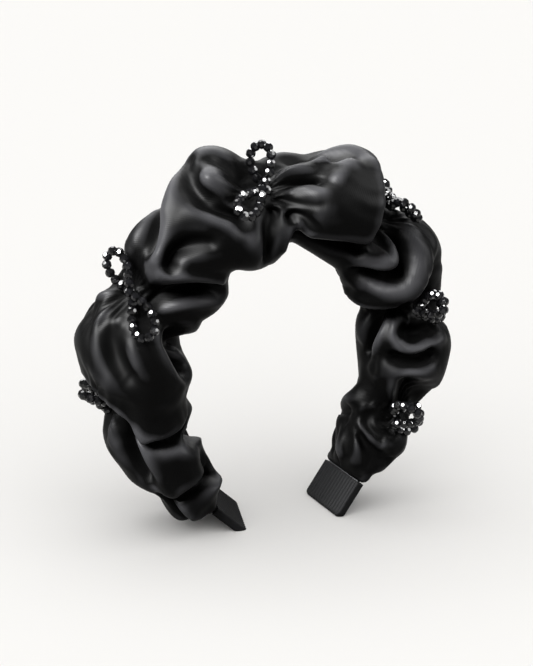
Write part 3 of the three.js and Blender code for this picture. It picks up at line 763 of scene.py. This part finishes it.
# %% Both sleeves
POCKET_SEAM = 0.01
SIDES = {
    "left": lambda depth: depth,
    "right": lambda depth: ARCH_LENGTH - depth,
}


def pocket_grid(along_share, around_share):
    return along_share * 2 * SLEEVE_LENGTH, around_share * 4 * SLEEVE_HALF_WIDTH / MM_PER_DEGREE


sleeves = {}
for side, station_of_depth in SIDES.items():
    bm, weave = bent_grid(SLEEVE_COLUMNS, SLEEVE_ROWS, pocket(station_of_depth))
    lay_weave(bm, weave, pocket_grid)
    area = sew(bm, POCKET_SEAM)
    sleeve = new_piece("ribbon_sleeve_" + side, bm)
    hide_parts("end_sleeve_" + side)
    sleeves[side] = sleeve
    print(sleeve.name, "area in square cm:", round(area * 1e4, 1))

# %% [markdown]
# ## The bead bows
#
# Each bow is a string of faceted glass beads in a figure of eight, sewn down where it crosses
# itself. A row gives the place of the crossing, and the size and directions of both loops.
#
# The rows weren't chosen by hand. Each string was moved about at random until it lay in its place and
# clear of the satin, and the places found were rounded and then adjusted a little.

# %% The bows' places
BOWS = [
    # (station, angle, radius) of the crossing, then two loops as
    # length, half width, direction, and the direction it is wide in
    ((85, 6, 13.45),
     (16, 3.2, (-0.8, -0.3, 0.5), (-0.2, 0.9, 0.3)),
     (18, 3.2, (-0.5, 0.8, 0.3), (0.75, 0.25, -0.6))),
    ((134.5, 50, 17.65),
     (21, 4, (-0.3, 0.6, 0.7), (0.6, -0.15, 0.75)),
     (23, 4.5, (0.15, -0.75, -0.65), (0.85, -0.35, 0.4))),
    ((200, 56, 17.9),
     (20, 4.6, (0, 0.45, 0.9), (0.75, -0.6, 0.25)),
     (24, 4, (-0.65, -0.7, -0.2), (0.6, -0.4, -0.7))),
    ((254, 14, 20.4),
     (15, 4.4, (0.3, -0.95, 0), (-0.1, 0.9, -0.35)),
     (19, 3.6, (0.15, 0.95, 0.2), (0.1, -0.3, -0.95))),
    ((291, 78, 19.65),
     (17, 3.2, (0.4, -0.85, 0.35), (-0.25, -0.1, 0.95)),
     (18.5, 4, (0.85, 0.5, -0.25), (-0.6, 0.25, 0.75))),
    ((346, 92, 16.9),
     (20, 4.4, (0.15, -0.85, 0.5), (-0.6, -0.45, 0.65)),
     (13, 3.6, (1, 0, -0.1), (0.15, 0, 1))),
]

print("bows:", len(BOWS))

# %% [markdown]
# The string is a formula: half a turn draws the first loop and the other half draws the second,
# each in its own direction. Where the two strands cross, one lies over the other.

# %% The figure of eight
BEAD_DIAMETER = 4.5
STRAND_GAP = 0.3
POINTEDNESS = 1.15       # 1 leaves a loop's end round, and more draws it out
LOOP_FULLNESS = 1.3


def loop_axes(loop):
    """A loop's two sizes, and its two directions at a right angle."""
    length, half_width, toward, wide = loop
    along = Vector(toward).normalized()
    across = Vector(wide)
    across -= along * across.dot(along)
    return length, half_width, along, across.normalized()


def bow_line(crossing, loops, count=720):
    """Close points of the string, in metres."""
    station, angle, radius = crossing
    out_by = radius * math.cos(math.radians(angle))
    front_by = radius * math.sin(math.radians(angle))
    centre = Vector(place(np.array(float(station)), out_by, front_by))
    first, second = (loop_axes(loop) for loop in loops)
    stack = first[2].cross(first[3])
    _, _, out, _ = arch_frame(float(station))
    if stack.dot(Vector(out)) < 0:
        stack.negate()
    apart = BEAD_DIAMETER / 2 + STRAND_GAP
    points = []
    for i in range(count):
        t = i / count * 2 * math.pi
        length, half_width, along, across = first if math.sin(t) >= 0 else second
        reach = length * abs(math.sin(t)) ** POINTEDNESS
        side = half_width * LOOP_FULLNESS * math.sin(2 * t) * (1 if math.sin(t) >= 0 else -1)
        offset = along * reach + across * side + stack * (apart * math.cos(t))
        points.append(centre + offset * MM)
    return points


string = bow_line(BOWS[0][0], BOWS[0][1:])
string_length = sum((b - a).length for a, b in zip(string, string[1:]))
print("the first bow's string in mm:", round(string_length / MM))

# %% [markdown]
# A fire-polished glass bead has flat facets all over. An icosahedron with its corners beveled off
# has twelve pentagons and twenty hexagons, which is close to it, with few faces. A bead is made
# once, and copies of it are turned to follow the string, each rolled by a random angle.

# %% One faceted bead
CORNER_SHARE = 0.36      # of an edge, cut off at both its ends


def cut_bead():
    """A bead that is 1 wide."""
    bm = bmesh.new()
    bmesh.ops.create_icosphere(bm, subdivisions=1, radius=0.5)
    bm.edges.ensure_lookup_table()
    edge = bm.edges[0].calc_length()
    bmesh.ops.bevel(bm, geom=bm.verts[:], offset=edge * CORNER_SHARE, offset_type="OFFSET",
                    affect="VERTICES", segments=1, profile=0.5, material=-1, clamp_overlap=True)
    widest = max(vert.co.length for vert in bm.verts)
    bmesh.ops.scale(bm, vec=(0.5 / widest,) * 3, verts=bm.verts)
    bmesh.ops.recalc_face_normals(bm, faces=bm.faces)
    mesh = bpy.data.meshes.new("cut_bead")
    bm.to_mesh(mesh)
    bm.free()
    return mesh


bead_mesh = cut_bead()
print("bead facets:", len(bead_mesh.polygons))

# %% [markdown]
# The beads are set so close that each reaches a little into the next. The thread is a thin
# cylinder from one bead's middle to the next one's, and it hardly shows. Beads that are all turned
# alike would glint alike, so each is rolled about the thread and tipped a little, by chance.

# %% Thread the beads on
THREAD_RADIUS = 0.45
THREAD_SIDES = 8
BEAD_PITCH = 3.9         # room of a bead along its string, in mm
BEAD_SHARE = 1.14        # its width as a share of that
BEAD_SQUASH = 0.97       # its length as a share of its width
BEAD_TIP = 0.5           # the most that a bead is tipped, in radians
rng = random.Random(5)


def equal_places(points, pitch):
    """Places at equal distances of about `pitch` along a closed line."""
    line = np.array(points + points[:1])
    far = np.concatenate([[0], np.cumsum(np.linalg.norm(np.diff(line, axis=0), axis=1))])
    count = round(far[-1] / pitch)
    wanted = np.arange(count) / count * far[-1]
    return [Vector([np.interp(s, far, line[:, k]) for k in range(3)]) for s in wanted], far[-1] / count


def upright_to(direction):
    """Turns what stands along Z to point in this direction."""
    return direction.to_track_quat("Z", "Y").to_matrix().to_4x4()


def bead_copy(centre, direction, size):
    """The cut bead at its place, rolled and tipped a little by chance."""
    roll = Matrix.Rotation(rng.uniform(0, 2 * math.pi), 4, "Z")
    tip = Matrix.Rotation(rng.uniform(-BEAD_TIP, BEAD_TIP), 4, "X")
    scale = Matrix.Diagonal((size, size, size * BEAD_SQUASH, 1))
    copy = bead_mesh.copy()
    copy.transform(Matrix.Translation(centre) @ upright_to(direction) @ scale @ tip @ roll)
    return copy


def bead_bow(name, crossing, *loops):
    centres, pitch = equal_places(bow_line(crossing, loops), BEAD_PITCH * MM)
    size = pitch * BEAD_SHARE
    bead_places.extend((np.array(centre), size / 2) for centre in centres)
    bm = bmesh.new()
    for i, centre in enumerate(centres):
        ahead = centres[(i + 1) % len(centres)]
        copy = bead_copy(centre, ahead - centres[i - 1], size)
        bm.from_mesh(copy)
        bpy.data.meshes.remove(copy)
        step = ahead - centre
        halfway = Matrix.Translation((centre + ahead) / 2) @ upright_to(step)
        bmesh.ops.create_cone(bm, cap_ends=True, segments=THREAD_SIDES, depth=step.length,
                              radius1=THREAD_RADIUS * MM, radius2=THREAD_RADIUS * MM, matrix=halfway)
    bow = new_piece(name, bm)
    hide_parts(name.replace("bead_", ""))
    return bow


bead_places = []
bows = [bead_bow(f"bead_bow_{i + 1}", *row) for i, row in enumerate(BOWS)]
bpy.data.meshes.remove(bead_mesh)
print("beads:", len(bead_places), "faces of each bow:", [len(bow.data.polygons) for bow in bows])

# %% [markdown]
# The cloth gives way under the beads, as it does under a string that is sewn on. It could be
# pressed in by a collision in a simulation, but moving each point that is too near to a bead out
# to a small gap does the same and leaves the other folds alone.

# %% Room for the beads
BEAD_CLEAR = 0.35

points = np.array([vert.co for vert in satin.data.vertices])
moved = 0
for centre, reach in bead_places:
    room = reach + BEAD_CLEAR * MM
    offset = points - centre
    distance = np.linalg.norm(offset, axis=1)
    near = distance < room
    points[near] = centre + offset[near] * (room / distance[near])[:, None]
    moved += int(near.sum())
satin.data.vertices.foreach_set("co", points.ravel())
satin.data.update()
print("points of the satin moved:", moved)

# %% [markdown]
# ## Finishes
#
# All the finishes are built from nodes. The same few steps come back in each of them: a new
# material, a node with its settings and links, a colour ramp, and a value stretched to a range.

# %% Helpers for the finishes
def finish_named(name):
    material = bpy.data.materials.new(name)
    material.use_nodes = True
    tree = material.node_tree
    return material, tree, tree.nodes["Principled BSDF"]


def add_node(tree, kind, settings=None, **inputs):
    """A node with its settings and input values, and links where an input is a socket."""
    node = tree.nodes.new(kind)
    for key, value in (settings or {}).items():
        setattr(node, key, value)
    for key, value in inputs.items():
        socket = node.inputs[key.replace("_", " ")]
        if isinstance(value, bpy.types.NodeSocket):
            tree.links.new(value, socket)
        else:
            socket.default_value = value
    return node


def shades(tree, value, *stops):
    """A colour ramp between two stops, each a position and a colour."""
    ramp = add_node(tree, "ShaderNodeValToRGB", Fac=value)
    for element, (position, shade) in zip(ramp.color_ramp.elements, stops):
        element.position = position
        element.color = (*shade, 1)
    return ramp.outputs["Color"]


def levels(tree, value, low, high, start=0.0, end=1.0):
    """Stretches what runs from `start` to `end` so that it runs from `low` to `high`."""
    spread = add_node(tree, "ShaderNodeMapRange", Value=value, From_Min=start, From_Max=end,
                      To_Min=low, To_Max=high)
    return spread.outputs["Result"]


def added(tree, value, share, base):
    """A share of one value on top of another."""
    node = add_node(tree, "ShaderNodeMath", {"operation": "MULTIPLY_ADD"})
    tree.links.new(value, node.inputs[0])
    node.inputs[1].default_value = share
    tree.links.new(base, node.inputs[2])
    return node.outputs["Value"]


def grey(value, blue=0.0):
    """A neutral colour, with a little more blue if wanted."""
    return (value, value, value + blue)


print("materials before:", len(bpy.data.materials))

# %% [markdown]
# Satin is a smooth twill: nearly black in itself, with broad soft highlights along its folds, and very
# fine slanting ribs that show only where light grazes it. The ribs come from the UV map, which is in
# mm, as a small bump, and a wider bump crumples the cloth slightly. Crests are a little smoother than
# valleys, by the attribute that was stored. The same attribute paints the colour: crests get a painted
# highlight, a little lighter than the black, and valleys get painted shade, and slow noise makes that
# uneven.

# %% Satin
TWILL_TURN = 35          # how the ribs slant, in degrees
# the valleys' colour is painted shade, and the crests' colour is a painted highlight
SATIN_VALLEY_PAINTED_SHADE = grey(0.0001)
SATIN_CREST_PAINTED_HIGHLIGHT = grey(0.0105, 0.0007)
PATCH_SHARE = 0.3
YARN_SHARE = 0.08


def satin_finish():
    material, tree, shader = finish_named("black_satin")
    cloth = add_node(tree, "ShaderNodeTexCoord").outputs["UV"]
    place_on = add_node(tree, "ShaderNodeTexCoord").outputs["Object"]
    slant = add_node(tree, "ShaderNodeMapping", Vector=cloth,
                     Rotation=(0, 0, math.radians(TWILL_TURN))).outputs["Vector"]
    ribs = add_node(tree, "ShaderNodeTexWave", {"wave_type": "BANDS", "bands_direction": "X"},
                    Vector=slant, Scale=0.42, Distortion=0.4, Detail=1.0, Detail_Scale=1.5)
    yarn = add_node(tree, "ShaderNodeTexNoise", Vector=cloth, Scale=3.0, Detail=2.0)
    crumple = add_node(tree, "ShaderNodeTexNoise", Vector=place_on, Scale=160.0, Detail=3.0,
                       Roughness=0.55)
    patches = add_node(tree, "ShaderNodeTexNoise", Vector=place_on, Scale=35.0, Detail=2.0)
    crest = add_node(tree, "ShaderNodeAttribute", {"attribute_name": "crest"}).outputs["Fac"]
    # how far a point stands out sets painted light: painted shade in the valleys, a painted highlight
    # on the crests, made patchy by slow noise
    height = levels(tree, crest, 0.0, 1.0, start=-0.2, end=3.6)
    painted_shade_and_patches = added(tree, patches.outputs["Fac"], PATCH_SHARE, height)
    colour = shades(tree, painted_shade_and_patches, (0.38, SATIN_VALLEY_PAINTED_SHADE), (1.0, SATIN_CREST_PAINTED_HIGHLIGHT))
    tree.links.new(colour, shader.inputs["Base Color"])
    rough = levels(tree, crest, 0.5, 0.36, start=-1.6, end=2.4)
    blur = added(tree, yarn.outputs["Fac"], YARN_SHARE, rough)
    tree.links.new(blur, shader.inputs["Roughness"])
    wide = add_node(tree, "ShaderNodeBump", Strength=0.08, Distance=0.0006,
                    Height=crumple.outputs["Fac"])
    fine = add_node(tree, "ShaderNodeBump", Strength=0.3, Distance=0.00006,
                    Height=ribs.outputs["Fac"], Normal=wide.outputs["Normal"])
    tree.links.new(fine.outputs["Normal"], shader.inputs["Normal"])
    shader.inputs["Specular IOR Level"].default_value = 0.04
    return material


satin.data.materials.append(satin_finish())
print("finished:", satin.name)

# %% [markdown]
# The ribbon is a matte ribbed weave. Its ribs are modelled, so its finish only adds the fine
# threads that cross them, and a fine unevenness of its black.

# %% Ribbon
RIBBON_DARK = grey(0.0006, 0.0001)
RIBBON_LIGHT = grey(0.0018, 0.0002)


def ribbon_finish():
    material, tree, shader = finish_named("black_ribbon")
    cloth = add_node(tree, "ShaderNodeTexCoord").outputs["UV"]
    place_on = add_node(tree, "ShaderNodeTexCoord").outputs["Object"]
    threads = add_node(tree, "ShaderNodeTexWave", {"wave_type": "BANDS", "bands_direction": "X"},
                       Vector=cloth, Scale=0.55, Distortion=1.2, Detail=2.0)
    dust = add_node(tree, "ShaderNodeTexNoise", Vector=place_on, Scale=900.0, Detail=2.0)
    colour = shades(tree, dust.outputs["Fac"], (0.35, RIBBON_DARK), (0.75, RIBBON_LIGHT))
    tree.links.new(colour, shader.inputs["Base Color"])
    tree.links.new(levels(tree, dust.outputs["Fac"], 0.62, 0.78), shader.inputs["Roughness"])
    bump = add_node(tree, "ShaderNodeBump", Strength=0.4, Distance=0.0001,
                    Height=threads.outputs["Fac"])
    tree.links.new(bump.outputs["Normal"], shader.inputs["Normal"])
    shader.inputs["Specular IOR Level"].default_value = 0.08
    return material


ribbon = ribbon_finish()
for sleeve in sleeves.values():
    sleeve.data.materials.append(ribbon)
print("finished:", ", ".join(sleeve.name for sleeve in sleeves.values()))

# %% [markdown]
# The beads are opaque black glass. Each facet is a flat mirror: it shows white where it happens
# to reflect a light and black everywhere else, so the finish is very smooth. A faint film makes
# some facets a little duller than others.

# %% Beads
BEAD_DARK = grey(0.0002)
BEAD_LIGHT = grey(0.0006, 0.0001)
BEAD_IOR = 1.38


def bead_finish():
    material, tree, shader = finish_named("black_glass_beads")
    place_on = add_node(tree, "ShaderNodeTexCoord").outputs["Object"]
    film = add_node(tree, "ShaderNodeTexNoise", Vector=place_on, Scale=260.0, Detail=2.0)
    colour = shades(tree, film.outputs["Fac"], (0.3, BEAD_DARK), (0.7, BEAD_LIGHT))
    tree.links.new(colour, shader.inputs["Base Color"])
    tree.links.new(levels(tree, film.outputs["Fac"], 0.02, 0.09), shader.inputs["Roughness"])
    shader.inputs["IOR"].default_value = BEAD_IOR
    return material


glass = bead_finish()
for bow in bows:
    bow.data.materials.append(glass)
print("finished bows:", len(bows))

# %% [markdown]
# Almost nothing of the band shows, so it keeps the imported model's shape. It gets a plain moulded
# finish with a fine grain.

# %% Band
BAND_DARK = grey(0.008, 0.001)
BAND_LIGHT = grey(0.014, 0.001)


def band_finish():
    material, tree, shader = finish_named("moulded_band")
    place_on = add_node(tree, "ShaderNodeTexCoord").outputs["Object"]
    grain = add_node(tree, "ShaderNodeTexNoise", Vector=place_on, Scale=1400.0, Detail=2.0)
    colour = shades(tree, grain.outputs["Fac"], (0.3, BAND_DARK), (0.7, BAND_LIGHT))
    tree.links.new(colour, shader.inputs["Base Color"])
    tree.links.new(levels(tree, grain.outputs["Fac"], 0.5, 0.62), shader.inputs["Roughness"])
    bump = add_node(tree, "ShaderNodeBump", Strength=0.3, Distance=0.00005,
                    Height=grain.outputs["Fac"])
    tree.links.new(bump.outputs["Normal"], shader.inputs["Normal"])
    return material


band = frame["nodes"]["band"]
band.data.materials.clear()
band.data.materials.append(band_finish())
print("finished:", band.name)

# %% [markdown]
# ## Light and camera
#
# The headband stands on a plain pale floor, which is one big matte square.

# %% The floor
FLOOR_SIZE = 16
FLOOR_COLOUR = (0.8, 0.79, 0.77)
FLOOR_ROUGHNESS = 0.95


def stage_piece(name, bm):
    """Something that surrounds the object and is no part of it."""
    mesh = bpy.data.meshes.new(name)
    bm.to_mesh(mesh)
    bm.free()
    piece = bpy.data.objects.new(name, mesh)
    bpy.context.scene.collection.objects.link(piece)
    return piece


bm = bmesh.new()
bmesh.ops.create_grid(bm, x_segments=1, y_segments=1, size=FLOOR_SIZE / 2)
floor = stage_piece("floor", bm)

material, tree, shader = finish_named("pale_floor")
shader.inputs["Base Color"].default_value = (*FLOOR_COLOUR, 1)
shader.inputs["Roughness"].default_value = FLOOR_ROUGHNESS
shader.inputs["Specular IOR Level"].default_value = 0.0
floor.data.materials.append(material)
print("floor:", FLOOR_SIZE, "m wide")

# %% [markdown]
# A pale dome closes the view behind the floor. Only the camera sees it, so it adds no light and no
# reflection. The light that comes from all around is the world's, and it is kept dim, because
# black satin looks black only where it has little to reflect.

# %% The surroundings
DOME_RADIUS = 7.5
DOME_DETAIL = 4
DOME_COLOUR = (0.98, 0.975, 0.96)
WORLD_COLOUR = (0.98, 0.98, 1.0)
WORLD_STRENGTH = 0.2

bm = bmesh.new()
bmesh.ops.create_icosphere(bm, subdivisions=DOME_DETAIL, radius=DOME_RADIUS)
bmesh.ops.reverse_faces(bm, faces=bm.faces)
dome = stage_piece("dome", bm)
dome.visible_diffuse = False
dome.visible_glossy = False
dome.visible_shadow = False

material, tree, shader = finish_named("pale_dome")
shader.inputs["Base Color"].default_value = (0, 0, 0, 1)
shader.inputs["Specular IOR Level"].default_value = 0.0
shader.inputs["Emission Color"].default_value = (*DOME_COLOUR, 1)
shader.inputs["Emission Strength"].default_value = 1.0
dome.data.materials.append(material)

world = bpy.data.worlds.new("surroundings")
bpy.context.scene.world = world
world.use_nodes = True
background = world.node_tree.nodes["Background"]
background.inputs["Color"].default_value = (*WORLD_COLOUR, 1)
background.inputs["Strength"].default_value = WORLD_STRENGTH
print("dome:", DOME_RADIUS, "m in radius, light from all around:", WORLD_STRENGTH)

# %% [markdown]
# The lights are suns, because a sun lights the whole floor alike, and most are wide, so that they
# are soft. Black satin needs far more light than a pale floor does, so light linking gives each
# its own: the floor has one very wide light from above, which leaves only soft shadows, and the
# headband has three. The key comes from the upper left in front and gives the broad highlights. A
# weaker one on the right opens the shadows, and one from behind draws the upper edges of the
# puffs. Three narrow ones shine on the beads alone, so that more of their facets glint.

# %% Lights
LIGHTS = [
    # name, what it lights, where it shines from, width in degrees, strength
    ("floor_light", "floor", (-0.2, -0.3, 1.0), 110, 3.42),
    ("key", "headband", (-0.7, -0.2, 0.8), 38, 42),
    ("fill", "headband", (0.9, -0.3, 0.6), 36, 4.5),
    ("rear", "headband", (0.25, 0.9, 1.0), 60, 6),
    ("left_spark", "beads", (-0.5, -1.0, 0.75), 15, 26),
    ("front_spark", "beads", (0.15, -1.0, 0.35), 13, 22),
    ("right_spark", "beads", (0.75, -0.7, 0.9), 15, 24),
]

lit = {"floor": [floor], "headband": [satin, band, *sleeves.values(), *bows], "beads": bows}
groups = {}
for group, pieces in lit.items():
    groups[group] = bpy.data.collections.new("lit_" + group)
    for piece in pieces:
        groups[group].objects.link(piece)

for name, group, spot, width, strength in LIGHTS:
    lamp = bpy.data.lights.new(name, "SUN")
    lamp.angle = math.radians(width)
    lamp.energy = strength
    holder = bpy.data.objects.new(name, lamp)
    holder.location = spot
    holder.rotation_euler = (-Vector(spot)).to_track_quat("-Z", "Y").to_euler()
    holder.light_linking.receiver_collection = groups[group]
    bpy.context.scene.collection.objects.link(holder)
print("lights:", len(LIGHTS))

# %% [markdown]
# The camera stands a little above the headband and to its left, and looks down at it. A long lens
# from some way off keeps the near side from looking too big, and a shifted lens moves the headband
# within the picture without turning the camera.

# %% Camera
CAMERA_TURN = 17.0       # to the left of straight in front, in degrees
CAMERA_TILT = 19.5       # down from level
CAMERA_DISTANCE = 780
LOOK_AT = (0, 0, 88)
SENSOR = 36
LENS = 91.9
SHIFT_X = -0.0218        # as shares of the picture
SHIFT_Y = 0.0075
SIGHT_RANGE = 30         # in metres, past the dome

turn, tilt = math.radians(CAMERA_TURN), math.radians(CAMERA_TILT)
view = Vector((math.sin(turn) * math.cos(tilt), math.cos(turn) * math.cos(tilt), -math.sin(tilt)))
camera_data = bpy.data.cameras.new("camera")
camera_data.sensor_width = SENSOR
camera_data.lens = LENS
camera_data.shift_x = SHIFT_X
camera_data.shift_y = SHIFT_Y
camera_data.clip_end = SIGHT_RANGE
camera = bpy.data.objects.new("camera", camera_data)
camera.location = (Vector(LOOK_AT) - view * CAMERA_DISTANCE + Vector(arch_origin)) * MM
camera.rotation_euler = view.to_track_quat("-Z", "Y").to_euler()
bpy.context.scene.collection.objects.link(camera)
bpy.context.scene.camera = camera
bpy.context.scene.view_settings.view_transform = "Standard"
print("camera at", [round(value, 3) for value in camera.location])
